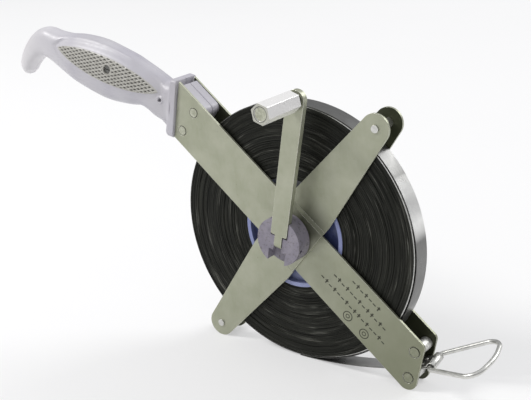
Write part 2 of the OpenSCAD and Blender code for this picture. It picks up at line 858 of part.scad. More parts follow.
// Ends of the whole reel along X and Y, for an origin at the middle of its base
function in_reel(p) =
    let (
        a = handle_angle, at = handle_s * unit(bar_angle) + handle_t * unit(bar_angle + 90)
    )
    [at[0] + p[0] * cos(a) + p[2] * sin(a), p[1], at[1] + p[0] * sin(a) - p[2] * cos(a)];
grip_in_reel = [for (p = grip_points) in_reel(p)];
reel_left = min([for (p = grip_in_reel) p[0]]);
far_centre_x = ring_x + cos(ring_pitch) * (ring_len + ring_bulge - ring_far_r / cos(corner_turn(2) / 2));
reel_right = far_centre_x + ring_far_r * norm([cos(ring_pitch), sin(ring_pitch) * sin(ring_twist)])
    + ring_wire / 2;
reel_back = mid_y + (max([for (p = ring_path) p[1]]) + ring_wire / 2) * cos(ring_twist);
base_centre = [(reel_left + reel_right) / 2, (reel_back - knob_far) / 2];

module reel_space() {
    translate([-base_centre[0], -base_centre[1], foot_drop]) children();
}

reel_space() front_main_bar();
reel_space() back_main_bar();
reel_space() front_cross_arm();
reel_space() back_cross_arm();
reel_space() front_bush();
reel_space() rear_bush();
reel_space() upper_tip_rod();
reel_space() lower_tip_rod();
reel_space() upper_tip_sleeve();
reel_space() lower_tip_sleeve();
reel_space() upper_guide_pin();
reel_space() lower_guide_pin();
reel_space() upper_guide_roller();
reel_space() lower_guide_roller();
reel_space() handle_front_shell();
reel_space() handle_back_shell();
reel_space() handle_rivets();
reel_space() handle_screw();
reel_space() handle_nut();
reel_space() drum();
reel_space() spindle();
reel_space() thrust_washer();
reel_space() drive_key();
reel_space() tape_anchor();
reel_space() anchor_pin();
reel_space() tape_pack();
reel_space() tape_outer_turn();
reel_space() tape_tail();
reel_space() tape_end_loop();
reel_space() end_loop_rivets();
reel_space() end_ring();
reel_space() crank_hub();
reel_space() fold_pin();
reel_space() crank_arm();
reel_space() knob_pin();
reel_space() knob_washer();
reel_space() crank_knob();
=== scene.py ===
import json
import math
import random

import bmesh
import bpy
import numpy as np
from mathutils import Matrix, Vector


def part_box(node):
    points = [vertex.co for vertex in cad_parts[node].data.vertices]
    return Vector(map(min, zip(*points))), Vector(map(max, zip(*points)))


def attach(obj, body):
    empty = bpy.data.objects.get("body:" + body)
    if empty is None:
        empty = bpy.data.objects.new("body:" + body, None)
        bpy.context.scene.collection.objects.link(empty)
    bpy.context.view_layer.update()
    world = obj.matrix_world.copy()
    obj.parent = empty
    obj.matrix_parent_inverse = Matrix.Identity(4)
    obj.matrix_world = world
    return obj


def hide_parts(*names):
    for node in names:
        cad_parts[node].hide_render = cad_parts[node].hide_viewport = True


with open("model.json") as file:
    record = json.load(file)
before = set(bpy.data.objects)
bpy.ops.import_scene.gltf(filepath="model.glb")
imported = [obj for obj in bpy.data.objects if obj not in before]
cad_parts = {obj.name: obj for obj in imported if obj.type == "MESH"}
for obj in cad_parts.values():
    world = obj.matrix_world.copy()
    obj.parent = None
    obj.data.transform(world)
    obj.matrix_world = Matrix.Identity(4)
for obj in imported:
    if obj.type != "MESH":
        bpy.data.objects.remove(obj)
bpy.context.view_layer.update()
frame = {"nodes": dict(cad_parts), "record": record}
nodes = frame["nodes"]
random.seed(7)

# ---------- places: millimetres from the spindle axis, at the outer face of the front main bar ----------

MM = 0.001
spindle_low, spindle_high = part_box("spindle")
front_low, front_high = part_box("front_main_bar")
_, back_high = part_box("back_main_bar")
HUB = Vector(((spindle_low.x + spindle_high.x) / 2, front_low.y, (spindle_low.z + spindle_high.z) / 2))
frame_depth = (back_high.y - front_low.y) / MM
mid_y = frame_depth / 2
plate_t = (front_high.y - front_low.y) / MM

bar_angle = math.radians(-38.9)
arm_angle = bar_angle + math.pi / 2
handle_angle = math.radians(168.5)
handle_s, handle_t = -93.4, -2.1
tape_t = 0.25


def reel(points):
    """Points in millimetres from the spindle, as metres in the frame."""
    return np.asarray(points, float) * MM + np.array(HUB)


def in_bar(s, t, y):
    """A place along and across the main bar, in reel millimetres."""
    c, n = math.cos(bar_angle), math.sin(bar_angle)
    return np.stack([s * c - t * n, y + 0 * s, s * n + t * c], -1)


def in_handle(along, up, y):
    """A place out along the handle and up across it, in reel millimetres."""
    root = in_bar(handle_s, handle_t, 0.0)
    c, n = math.cos(handle_angle), math.sin(handle_angle)
    return np.stack([root[0] + along * c + up * n, y + 0 * along, root[2] + along * n - up * c], -1)


# ---------- mesh helpers ----------


def new_piece(name, points, faces, smooth=True):
    mesh = bpy.data.meshes.new(name)
    mesh.from_pydata([tuple(p) for p in np.asarray(points).reshape(-1, 3)], [], faces)
    mesh.validate()
    mesh.polygons.foreach_set("use_smooth", [smooth] * len(mesh.polygons))
    piece = bpy.data.objects.new(name, mesh)
    bpy.context.scene.collection.objects.link(piece)
    return piece


def grid_faces(rows, columns, close_rows=False, close_columns=False):
    """Quads over a grid of points stored row by row."""
    faces = []
    for i in range(rows if close_rows else rows - 1):
        for j in range(columns if close_columns else columns - 1):
            a, b = i * columns, (i + 1) % rows * columns
            k = (j + 1) % columns
            faces.append((a + j, a + k, b + k, b + j))
    return faces


def turn_outward(piece):
    """Makes every face of a closed mesh look outward."""
    work = bmesh.new()
    work.from_mesh(piece.data)
    bmesh.ops.recalc_face_normals(work, faces=work.faces)
    work.to_mesh(piece.data)
    work.free()
    return piece


def keep(piece, body, material, slot, *replaced):
    """Gives a piece its material and body, and hides the CAD nodes that it stands for."""
    for m in material if isinstance(material, (list, tuple)) else [material]:
        piece.data.materials.append(m)
    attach(piece, body)
    if replaced:
        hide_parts(*replaced)
    return piece


def split_edges(piece, degrees):
    """Shades a piece as smooth except where its faces meet at more than an angle."""
    split = piece.modifiers.new("edges", "EDGE_SPLIT")
    split.split_angle = math.radians(degrees)


def soften(piece, width, edge_material=None):
    """Rounds a piece's edges by a width in millimetres, perhaps with a material of their own."""
    weld = piece.modifiers.new("weld", "WELD")
    weld.merge_threshold = 1e-6
    flat = piece.modifiers.new("flat", "DECIMATE")
    flat.decimate_type = "DISSOLVE"
    flat.angle_limit = math.radians(0.5)
    bevel = piece.modifiers.new("bevel", "BEVEL")
    bevel.width = width * MM
    bevel.segments = 2
    bevel.limit_method = "ANGLE"
    bevel.angle_limit = math.radians(30)
    bevel.use_clamp_overlap = True
    bevel.harden_normals = False
    if edge_material is not None:
        bevel.material = edge_material
    normals = piece.modifiers.new("normals", "WEIGHTED_NORMAL")
    normals.keep_sharp = True
    piece.data.polygons.foreach_set("use_smooth", [True] * len(piece.data.polygons))
    return piece


def smoothstep(low, high, x):
    f = np.clip((x - low) / (high - low), 0, 1)
    return f * f * (3 - 2 * f)


# ---------- materials ----------


class Finish:
    """A procedural material: a Principled shader and short calls for the nodes that feed it."""

    def __init__(self, name, **sockets):
        self.material = bpy.data.materials.new(name)
        self.material.use_nodes = True
        self.tree = self.material.node_tree
        self.shader = self.tree.nodes["Principled BSDF"]
        for socket, value in sockets.items():
            self.shader.inputs[socket.replace("_", " ")].default_value = value
        self.place = self.node("ShaderNodeTexCoord").outputs["Object"]

    def node(self, kind, **settings):
        made = self.tree.nodes.new(kind)
        for key, value in settings.items():
            setattr(made, key, value)
        return made

    def feed(self, target, value):
        if isinstance(value, bpy.types.NodeSocket):
            self.tree.links.new(value, target)
        else:
            target.default_value = value

    def maths(self, operation, a, b=0.0):
        made = self.node("ShaderNodeMath", operation=operation)
        self.feed(made.inputs[0], a)
        self.feed(made.inputs[1], b)
        return made.outputs[0]

    def stretched(self, place, scale, turn=(0, 0, 0)):
        made = self.node("ShaderNodeMapping")
        self.feed(made.inputs["Vector"], place)
        made.inputs["Scale"].default_value = scale
        made.inputs["Rotation"].default_value = turn
        return made.outputs[0]

    def noise(self, size_mm, detail=3.0, rough=0.55, place=None):
        """Noise whose features are about size_mm across."""
        made = self.node("ShaderNodeTexNoise")
        self.feed(made.inputs["Vector"], place if place is not None else self.place)
        made.inputs["Scale"].default_value = 1 / (size_mm * MM)
        made.inputs["Detail"].default_value = detail
        made.inputs["Roughness"].default_value = rough
        return made.outputs["Fac"]

    def span(self, value, low, high, to_low=0.0, to_high=1.0):
        made = self.node("ShaderNodeMapRange")
        self.feed(made.inputs["Value"], value)
        made.inputs["From Min"].default_value = low
        made.inputs["From Max"].default_value = high
        made.inputs["To Min"].default_value = to_low
        made.inputs["To Max"].default_value = to_high
        return made.outputs[0]

    def blend(self, share, a, b):
        made = self.node("ShaderNodeMix", data_type="RGBA")
        self.feed(made.inputs["Factor"], share)
        for socket, value in ((made.inputs[6], a), (made.inputs[7], b)):
            self.feed(socket, value if isinstance(value, bpy.types.NodeSocket) else (*value, 1.0))
        return made.outputs[2]

    def attribute(self, name):
        return self.node("ShaderNodeAttribute", attribute_name=name).outputs["Fac"]

    def bump(self, height, depth_mm, strength=1.0):
        made = self.node("ShaderNodeBump")
        made.inputs["Strength"].default_value = strength
        made.inputs["Distance"].default_value = depth_mm * MM
        self.feed(made.inputs["Height"], height)
        if self.shader.inputs["Normal"].is_linked:
            self.feed(made.inputs["Normal"], self.shader.inputs["Normal"].links[0].from_socket)
        self.feed(self.shader.inputs["Normal"], made.outputs["Normal"])

    def colour(self, value):
        self.feed(self.shader.inputs["Base Color"], value)

    def roughness(self, value):
        self.feed(self.shader.inputs["Roughness"], value)

    def around_spindle(self):
        """Radius from the spindle, and a place that runs round it, both in metres."""
        centred = self.node("ShaderNodeVectorMath", operation="SUBTRACT")
        self.feed(centred.inputs[0], self.place)
        centred.inputs[1].default_value = HUB
        flat = self.node("ShaderNodeVectorMath", operation="MULTIPLY")
        self.feed(flat.inputs[0], centred.outputs[0])
        flat.inputs[1].default_value = (1, 0, 1)
        length = self.node("ShaderNodeVectorMath", operation="LENGTH")
        self.feed(length.inputs[0], flat.outputs[0])
        direction = self.node("ShaderNodeVectorMath", operation="NORMALIZE")
        self.feed(direction.inputs[0], flat.outputs[0])
        return length.outputs["Value"], direction.outputs[0]

    def toward(self, place, angle):
        """How far a place lies in the direction at an angle, in the plane of the side plates."""
        made = self.node("ShaderNodeVectorMath", operation="DOT_PRODUCT")
        self.feed(made.inputs[0], place)
        made.inputs[1].default_value = (math.cos(angle), 0, math.sin(angle))
        return made.outputs["Value"]

    def normal_y(self):
        parts = self.node("ShaderNodeSeparateXYZ")
        self.feed(parts.inputs[0], self.node("ShaderNodeNewGeometry").outputs["Normal"])
        return parts.outputs[1]

    def ring_noise(self, width_mm, swing=0.01, detail=2.0):
        """Noise in fine rings round the spindle that change slowly as they go round."""
        radius, direction = self.around_spindle()
        spread = self.node("ShaderNodeVectorMath", operation="SCALE")
        self.feed(spread.inputs[0], direction)
        spread.inputs["Scale"].default_value = swing
        parts = self.node("ShaderNodeSeparateXYZ")
        self.feed(parts.inputs[0], spread.outputs[0])
        joined = self.node("ShaderNodeCombineXYZ")
        self.feed(joined.inputs[0], radius)
        self.feed(joined.inputs[1], parts.outputs[0])
        self.feed(joined.inputs[2], parts.outputs[2])
        return self.noise(width_mm, detail, 0.6, joined.outputs[0])


def darkened_toward_ring(f, tone):
    """The zinc's tone, darker towards the end with the ring."""
    ring_end_share = f.span(f.toward(f.place, bar_angle), -0.02, 0.07, 0.0, 0.75)
    return f.blend(ring_end_share, tone, (0.190, 0.200, 0.130))


def plate_finish(name="zinc_plate", shaded_side=0.0, stamped=False, crank_shadow=False):
    """Olive grey chromated zinc plate, a little mottled and stained.

    Faces that look along a given Y direction, if any, are painted dark: painted shade between the front and
    back plates.
    A plate can also be painted darker beside the crank's hub: a painted shadow of the crank and hub.
    """
    f = Finish(name, Metallic=0.55)
    broad = f.noise(14, 4, 0.6)
    rolled = f.noise(1.2, 2, 0.5, f.stretched(f.place, (1, 1, 0.25), (0, arm_angle, 0)))
    tone = f.blend(f.span(broad, 0.35, 0.68), (0.355, 0.370, 0.272), (0.440, 0.450, 0.352))
    tone = f.blend(f.span(rolled, 0.3, 0.7, 0.0, 0.35), tone, (0.42, 0.43, 0.34))
    tone = darkened_toward_ring(f, tone)
    # Painted shadow: the crank and its hub darken the plate beside the hub.
    if crank_shadow:
        radius, direction = f.around_spindle()
        beside_hub = f.span(f.toward(direction, math.radians(34)), 0.78, 0.94, 0.0, 0.75)
        crank_shadow_share = f.maths("MULTIPLY", beside_hub, f.span(radius, 0.029, 0.015))
        tone = f.blend(crank_shadow_share, tone, (0.055, 0.058, 0.034))
    stain = f.span(f.noise(2.6, 5, 0.7), 0.66, 0.76, 0.0, 0.6)
    tone = f.blend(stain, tone, (0.12, 0.12, 0.07))
    # Painted shade: the faces looking the given way, inside the frame, are painted dark.
    if shaded_side:
        facing = f.maths("MULTIPLY", f.normal_y(), shaded_side)
        tone = f.blend(f.span(facing, 0.5, 0.9), tone, (0.055, 0.060, 0.035))
    f.bump(f.noise(0.5, 4, 0.6), 0.02, 0.35)
    # The stamped marks come with painted shade rings round the guide pins.
    if stamped:
        mark = marks_and_pin_shade(f)
        tone = f.blend(f.maths("MULTIPLY", mark, 0.9), tone, (0.022, 0.022, 0.014))
        f.bump(f.maths("MULTIPLY", mark, -1.0), 0.12, 0.8)
    f.colour(tone)
    f.roughness(f.span(f.noise(5, 4), 0.3, 0.7, 0.34, 0.48))
    return f.material


def marks_and_pin_shade(f):
    """Plain dashes and two rings stamped into the front main bar, and painted shade rings round the guide
    pins.
    """
    turned = f.node("ShaderNodeMapping", vector_type="TEXTURE")
    f.feed(turned.inputs["Vector"], f.place)
    turned.inputs["Location"].default_value = HUB
    turned.inputs["Rotation"].default_value = (0, -bar_angle, 0)
    parts = f.node("ShaderNodeSeparateXYZ")
    f.feed(parts.inputs[0], turned.outputs[0])
    s, t = parts.outputs[0], parts.outputs[2]
    marks = None

    def band(value, middle, half):
        """1 within half of the middle, both in millimetres, and 0 outside."""
        soft = 0.10
        off = f.maths("ABSOLUTE", f.maths("SUBTRACT", value, middle * MM))
        return f.span(off, (half + soft) * MM, (half - soft) * MM)

    def add(mark):
        nonlocal marks
        marks = mark if marks is None else f.maths("MAXIMUM", marks, mark)

    pitch = 2.9
    for t_row, s_start, s_end in ((8.7, 38.0, 58.0), (3.0, 29.0, 67.0), (-3.3, 24.5, 71.0)):
        cell = f.maths("DIVIDE", f.maths("SUBTRACT", s, s_start * MM), pitch * MM)
        within = f.maths("ABSOLUTE", f.maths("SUBTRACT", f.maths("FRACT", cell), 0.5))
        lean = f.maths("SINE", f.maths("MULTIPLY", f.maths("FLOOR", cell), 2.4))
        shifted = f.maths("SUBTRACT", t, f.maths("MULTIPLY", lean, 0.35 * MM))
        stroke = f.maths("MULTIPLY", f.span(within, 0.36, 0.30), band(shifted, t_row, 0.30))
        upright = f.maths("MULTIPLY", f.span(within, 0.15, 0.09), band(t, t_row, 1.3))
        pick = f.maths("GREATER_THAN", lean, 0.0)
        mark = f.maths("MAXIMUM", f.maths("MULTIPLY", upright, pick), stroke)
        add(f.maths("MULTIPLY", mark, band(s, (s_start + s_end) / 2, (s_end - s_start) / 2)))
    def add_ring(s_ring, t_ring, radius, half):
        ds = f.maths("SUBTRACT", s, s_ring * MM)
        dt = f.maths("SUBTRACT", t, t_ring * MM)
        off = f.maths("SQRT", f.maths("ADD", f.maths("MULTIPLY", ds, ds), f.maths("MULTIPLY", dt, dt)))
        add(band(off, radius, half))

    for s_ring, t_ring in ((48.2, -8.7), (59.9, -8.7)):
        add_ring(s_ring, t_ring, 2.5, 0.24)
        add_ring(s_ring, t_ring, 1.0, 0.20)
    # Painted shade: a dark ring on the plate round each guide pin's head.
    for pin in ("upper_guide_pin", "lower_guide_pin"):
        x, _, z = node_middle(pin)
        c, n = math.cos(bar_angle), math.sin(bar_angle)
        add_ring(x * c + z * n, z * c - x * n, 2.95, 0.14)
    return marks


def worn_edge_finish():
    f = Finish("worn_edge", Metallic=0.9)
    f.colour(f.blend(f.span(f.noise(2, 4), 0.4, 0.6), (0.62, 0.62, 0.52), (0.80, 0.80, 0.74)))
    f.roughness(f.span(f.noise(1.5, 3), 0.3, 0.7, 0.22, 0.40))
    return f.material


def bright_zinc_finish(name="bright_zinc", tone=(0.70, 0.70, 0.67), rough=0.27):
    f = Finish(name, Metallic=0.95)
    cloudy = f.span(f.noise(3, 5, 0.65), 0.35, 0.7)
    f.colour(f.blend(cloudy, tone, tuple(0.78 * c for c in tone)))
    f.roughness(f.span(f.noise(1.2, 4, 0.6), 0.3, 0.7, rough, rough + 0.16))
    f.bump(f.noise(0.35, 3, 0.6), 0.01, 0.3)
    return f.material


def rivet_finish():
    f = Finish("zinc_rivet", Metallic=0.5)
    centre = f.noise(1.4, 4, 0.6)
    f.colour(darkened_toward_ring(f, f.blend(f.span(centre, 0.35, 0.65), (0.36, 0.37, 0.28), (0.55, 0.56, 0.46))))
    f.roughness(f.span(f.noise(0.8, 3), 0.3, 0.7, 0.32, 0.5))
    f.bump(f.noise(0.7, 3, 0.6), 0.03, 0.5)
    return f.material


def handle_finish():
    """Pale lavender grey plastic, with painted light making the hook end paler, and a soiled grip panel
    with near-black pits.
    """
    f = Finish("handle_plastic", Specular_IOR_Level=0.45)
    cloud = f.span(f.noise(18, 4, 0.5), 0.3, 0.7)
    tone = f.blend(cloud, (0.455, 0.442, 0.495), (0.530, 0.520, 0.560))
    yellowed = f.span(f.noise(30, 2, 0.5), 0.45, 0.7, 0.0, 0.35)
    tone = f.blend(yellowed, tone, (0.50, 0.485, 0.49))
    parts = f.node("ShaderNodeSeparateXYZ")
    f.feed(parts.inputs[0], f.place)
    # Painted light: the hook end is painted paler, as if brightly lit.
    hook_end = f.span(parts.outputs[0], -0.100, -0.145, 0.0, 0.8)
    tone = f.blend(hook_end, tone, (0.76, 0.745, 0.76))
    grime_and_shade = f.span(f.noise(3, 5, 0.65), 0.35, 0.75)
    beige = f.blend(grime_and_shade, (0.50, 0.49, 0.455), (0.34, 0.33, 0.295))
    tone = f.blend(f.attribute("panel"), tone, beige)
    f.colour(f.blend(f.attribute("pit"), tone, (0.060, 0.056, 0.048)))
    f.roughness(f.span(f.noise(2.5, 5, 0.6), 0.3, 0.7, 0.30, 0.42))
    f.bump(f.noise(0.6, 3, 0.5), 0.01, 0.2)
    return f.material


def hub_finish():
    f = Finish("hub_plastic", Specular_IOR_Level=0.35)
    tone = f.blend(f.span(f.noise(6, 4), 0.3, 0.7), (0.205, 0.190, 0.235), (0.300, 0.280, 0.325))
    dirt = f.span(f.noise(1.6, 6, 0.7), 0.54, 0.68, 0.0, 0.8)
    f.colour(f.blend(dirt, tone, (0.10, 0.085, 0.08)))
    f.roughness(f.span(f.noise(1.5, 4), 0.3, 0.7, 0.38, 0.6))
    f.bump(f.noise(0.8, 4, 0.6), 0.03, 0.4)
    return f.material


def drum_finish():
    """Dark blue plastic with a paler rim, with painted light below the spindle and painted shade above it.
    """
    f = Finish("drum_plastic", Coat_Weight=0.2, Coat_Roughness=0.2)
    radius, direction = f.around_spindle()
    rim = f.span(radius, 0.0264, 0.0267)
    web = f.blend(f.span(f.noise(5, 3), 0.3, 0.7), (0.050, 0.065, 0.170), (0.085, 0.105, 0.260))
    tone = f.blend(rim, web, (0.22, 0.25, 0.46))
    # Painted light: the drum is painted paler below the spindle.
    below = f.span(f.toward(direction, math.radians(-80)), 0.86, 0.96, 0.0, 0.85)
    tone = f.blend(below, tone, (0.27, 0.30, 0.50))
    # Painted shade: the drum is painted near black above the spindle.
    above = f.span(f.toward(direction, math.radians(92)), 0.84, 0.95)
    f.colour(f.blend(above, tone, (0.016, 0.018, 0.026)))
    f.roughness(f.span(f.noise(2, 4), 0.3, 0.7, 0.30, 0.48))
    f.bump(f.noise(0.7, 3), 0.02, 0.3)
    return f.material


def tape_edge_finish():
    """Edges of the wound tape: blued steel in fine rings, with painted highlights lightening some rings."""
    f = Finish("tape_edges", Metallic=0.45, Specular_IOR_Level=0.3)
    fine = f.ring_noise(0.28, 0.0006, 2)
    coarse = f.ring_noise(1.3, 0.0030, 2)
    broad = f.ring_noise(5.0, 0.0130, 2)
    tone = f.blend(f.span(fine, 0.40, 0.66), (0.005, 0.0055, 0.004), (0.024, 0.025, 0.019))
    tone = f.blend(f.span(coarse, 0.50, 0.68, 0.0, 0.6), tone, (0.040, 0.041, 0.033))
    # Painted highlights: some fine rings are painted much lighter, as if catching the light.
    painted_sheen = f.maths("MULTIPLY", f.span(fine, 0.52, 0.62), f.span(coarse, 0.50, 0.62))
    painted_sheen = f.maths("MULTIPLY", painted_sheen, f.span(broad, 0.44, 0.60))
    f.colour(f.blend(painted_sheen, tone, (0.17, 0.17, 0.15)))
    f.roughness(f.span(coarse, 0.3, 0.7, 0.36, 0.56))
    f.bump(fine, 0.05, 0.7)
    return f.material


def tape_face_finish():
    """The tape's flat side: steel drawn lengthwise, with painted reflections brightening two stretches on
    the right.
    """
    f = Finish("tape_face", Metallic=0.9)
    drawn = f.noise(0.22, 3, 0.6, f.stretched(f.place, (0.05, 1.0, 0.05)))
    cloud = f.noise(9, 4, 0.6)
    _, direction = f.around_spindle()
    tone = f.blend(f.span(drawn, 0.3, 0.7), (0.15, 0.15, 0.145), (0.22, 0.22, 0.215))
    # Painted reflections: two stretches on the right are painted bright.
    for degrees, start, bright in ((20, 0.972, 0.92), (-46, 0.90, 0.55)):
        painted_sheen = f.span(f.toward(direction, math.radians(degrees)), start, 0.995)
        tone = f.blend(painted_sheen, tone, (bright, bright, bright * 0.98))
    f.colour(f.blend(f.span(cloud, 0.45, 0.75, 0.0, 0.3), tone, (0.22, 0.22, 0.22)))
    f.roughness(f.span(cloud, 0.3, 0.7, 0.26, 0.42))
    f.bump(drawn, 0.01, 0.3)
    return f.material


def tape_thin_edge_finish():
    f = Finish("tape_thin_edge", Metallic=0.6)
    f.colour(f.blend(f.span(f.noise(3, 4), 0.3, 0.7), (0.03, 0.03, 0.028), (0.10, 0.10, 0.09)))
    f.roughness(f.span(f.noise(1, 3), 0.3, 0.7, 0.35, 0.5))
    return f.material


def knob_finish():
    """Polished aluminium bar with fine lines along it, and duller ends with a dark ring round the pin's
    head.
    """
    f = Finish("knob_aluminium")
    along = f.noise(0.25, 3, 0.6, f.stretched(f.place, (1, 0.04, 1)))
    end = f.span(f.maths("ABSOLUTE", f.normal_y()), 0.80, 0.95)
    side = f.blend(f.span(along, 0.3, 0.7), (0.92, 0.91, 0.90), (0.97, 0.96, 0.95))
    low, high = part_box("knob_pin")
    parts = f.node("ShaderNodeSeparateXYZ")
    f.feed(parts.inputs[0], f.place)
    dx = f.maths("SUBTRACT", parts.outputs[0], (low.x + high.x) / 2)
    dz = f.maths("SUBTRACT", parts.outputs[2], (low.z + high.z) / 2)
    radius = f.maths("SQRT", f.maths("ADD", f.maths("MULTIPLY", dx, dx), f.maths("MULTIPLY", dz, dz)))
    grime_and_shade = f.span(f.maths("ABSOLUTE", f.maths("SUBTRACT", radius, 3.40 * MM)), 0.32 * MM, 0.18 * MM)
    face = f.blend(grime_and_shade, (0.50, 0.50, 0.44), (0.03, 0.03, 0.02))
    f.colour(f.blend(end, side, face))
    f.feed(f.shader.inputs["Metallic"], f.span(end, 0.0, 1.0, 0.35, 0.3))
    worn = f.span(f.noise(2, 4), 0.3, 0.7, 0.18, 0.28)
    f.roughness(f.maths("ADD", worn, f.maths("MULTIPLY", end, 0.2)))
    f.bump(along, 0.01, 0.35)
    return f.material


def dull_finish(name, tone, metallic=0.7, rough=0.45):
    f = Finish(name, Metallic=metallic)
    f.colour(f.blend(f.span(f.noise(1.5, 5, 0.65), 0.35, 0.7), tone, tuple(0.6 * c for c in tone)))
    f.roughness(f.span(f.noise(0.9, 3), 0.3, 0.7, rough - 0.08, rough + 0.1))
    f.bump(f.noise(0.4, 3), 0.01, 0.3)
    return f.material


# ---------- the camera, lights and floor ----------


def add_camera():
    azimuth, elevation, roll = math.radians(37.2), math.radians(19.8), math.radians(-3.04)
    distance, focal = 524.2, 70.87
    target = Vector(reel((-14.95, 0, 15.77)))
    ahead = Vector((-math.sin(azimuth) * math.cos(elevation), math.cos(azimuth) * math.cos(elevation),
                    -math.sin(elevation)))
    level = Vector((math.cos(azimuth), math.sin(azimuth), 0))
    above = level.cross(ahead)
    right = level * math.cos(roll) + above * math.sin(roll)
    up = above * math.cos(roll) - level * math.sin(roll)
    data = bpy.data.cameras.new("camera")
    data.lens, data.sensor_width = focal, 36
    data.clip_start, data.clip_end = 0.01, 20
    camera = bpy.data.objects.new("camera", data)
    camera.matrix_world = Matrix((right, up, -ahead)).transposed().to_4x4()
    camera.location = target - ahead * distance * MM
    bpy.context.scene.collection.objects.link(camera)
    bpy.context.scene.camera = camera


def add_area_light(name, place, aim, size, power, colour=(1, 1, 1)):
    data = bpy.data.lights.new(name, "AREA")
    data.shape = "DISK"
    data.size, data.energy, data.color = size, power, colour
    lamp = bpy.data.objects.new(name, data)
    lamp.location = place
    lamp.rotation_mode = "QUATERNION"
    lamp.rotation_quaternion = (Vector(aim) - Vector(place)).to_track_quat("-Z", "Y")
    bpy.context.scene.collection.objects.link(lamp)


def add_floor():
    """A pale floor that glows a little, wide enough to be all that the camera sees behind the reel."""
    rings, count = (0.0, 0.3, 0.8, 1.6, 2.6), 96
    points = [
        (r * math.cos(2 * math.pi * k / count), r * math.sin(2 * math.pi * k / count), 0.0)
        for r in rings[1:] for k in range(count)
    ]
    faces = grid_faces(len(rings) - 1, count, False, True) + [tuple(range(count))]
    floor = new_piece("floor", points, faces, smooth=False)
    f = Finish("floor_paper", Roughness=0.9)
    f.colour(f.blend(f.span(f.noise(400, 3), 0.3, 0.7), (0.475, 0.475, 0.478), (0.485, 0.485, 0.488)))
    f.shader.inputs["Emission Color"].default_value = (1.0, 0.998, 1.0, 1)
    f.shader.inputs["Emission Strength"].default_value = 0.40
    floor.data.materials.append(f.material)


def light_scene():
    """Softboxes behind on the right and in front on the left, and a surround that is brighter overhead."""
    world = bpy.data.worlds.new("world")
    bpy.context.scene.world = world
    world.use_nodes = True
    tree = world.node_tree
    sky = tree.nodes["Background"]
    place = tree.nodes.new("ShaderNodeTexCoord")
    parts = tree.nodes.new("ShaderNodeSeparateXYZ")
    ramp = tree.nodes.new("ShaderNodeValToRGB")
    tree.links.new(place.outputs["Generated"], parts.inputs[0])
    tree.links.new(parts.outputs["Z"], ramp.inputs["Fac"])
    tree.links.new(ramp.outputs["Color"], sky.inputs["Color"])
    low, high = ramp.color_ramp.elements
    low.position, low.color = 0.0, (0.14, 0.14, 0.145, 1)
    high.position, high.color = 0.95, (0.80, 0.805, 0.82, 1)
    sky.inputs["Strength"].default_value = 1.0
    aim = Vector(reel((0, 5, 0)))
    add_area_light("back_softbox", aim + Vector((1.80, 2.90, 2.35)), aim, 2.4, 78)
    add_area_light("key", aim + Vector((-1.10, -0.85, 1.35)), aim, 0.60, 20, (1.0, 0.99, 0.97))
    bpy.context.scene.view_settings.view_transform = "Standard"


# ---------- the handle ----------

# Each row is [along, up, half height, half thickness] at one station of the grip's spine, as in the CAD
GRIP = np.array([
    [-1, 0.2, 11.6, 7.6], [8, 0.2, 11.2, 7.8], [15, 2.4, 10.9, 8.2], [22, 3.8, 11.5, 8.7],
    [31.5, 4, 13.7, 9.3], [45, 3.9, 15.4, 9.6], [57, 4.6, 15.4, 9.5], [70.5, 4.9, 13.7, 9],
    [80.5, 5.4, 11.1, 8.3], [90, 6.4, 9, 7.6], [97, 6.6, 8.6, 7], [103, 3.4, 7.4, 6.4],
    [108.2, -2.4, 6.2, 6], [111.6, -8.8, 5.3, 5.6], [112.4, -13, 4.5, 4.8], [112.2, -16, 2.6, 2.8],
    [112, -17, 0.6, 0.7],
])
GRIP_POWER = 2.4
PANEL_NEAR, PANEL_FAR = (8.5, 5.6), (82.4, 9.1)
PANEL_HALF = 7.0
RIDGE_ALONG, RIDGE_UP = 2.3, 0.975   # half diagonals of one diamond of the knurling
SCREW_AT, LANYARD_AT = (43.4, 8.1), (6.7, 1.9)


def spline(rows, u):
    """Smooth curve through rows, at positions u along it."""
    i = np.minimum(np.floor(u).astype(int), len(rows) - 2)
    f = (u - i)[:, None]
    p0, p1 = rows[np.maximum(i - 1, 0)], rows[i]
    p2, p3 = rows[i + 1], rows[np.minimum(i + 2, len(rows) - 1)]
    return 0.5 * (2 * p1 + (p2 - p0) * f + (2 * p0 - 5 * p1 + 4 * p2 - p3) * f**2
                  + (3 * p1 - p0 - 3 * p2 + p3) * f**3)


def even_steps(points, count):
    """The same polyline with count points an even distance apart."""
    gaps = np.linalg.norm(np.diff(points, axis=0), axis=1)
    run = np.concatenate([[0], np.cumsum(gaps)])
    want = np.linspace(0, run[-1], count)
    return np.stack([np.interp(want, run, points[:, k]) for k in range(points.shape[1])], -1)


def panel_shape(along, up):
    """How far inside the grip panel a place is, in millimetres, negative outside."""
    (a0, h0), (a1, h1) = PANEL_NEAR, PANEL_FAR
    u = (along - a0) / (a1 - a0)
    half = PANEL_HALF * np.clip(4 * u * (1 - u), 0, 1) ** 0.75
    off = np.abs(up - (h0 + (h1 - h0) * u))
    past = np.maximum(np.maximum(-u, u - 1), 0) * (a1 - a0)
    return half - off - past


def knurl(along, up):
    """1 in the middle of each knurled pit and 0 on the ridges between them."""
    p, q = along / RIDGE_ALONG, up / RIDGE_UP
    u, v = (p + q) / 2, (p - q) / 2
    from_ridge = np.minimum(np.abs(u - np.round(u)), np.abs(v - np.round(v)))
    return smoothstep(0.15, 0.33, from_ridge)


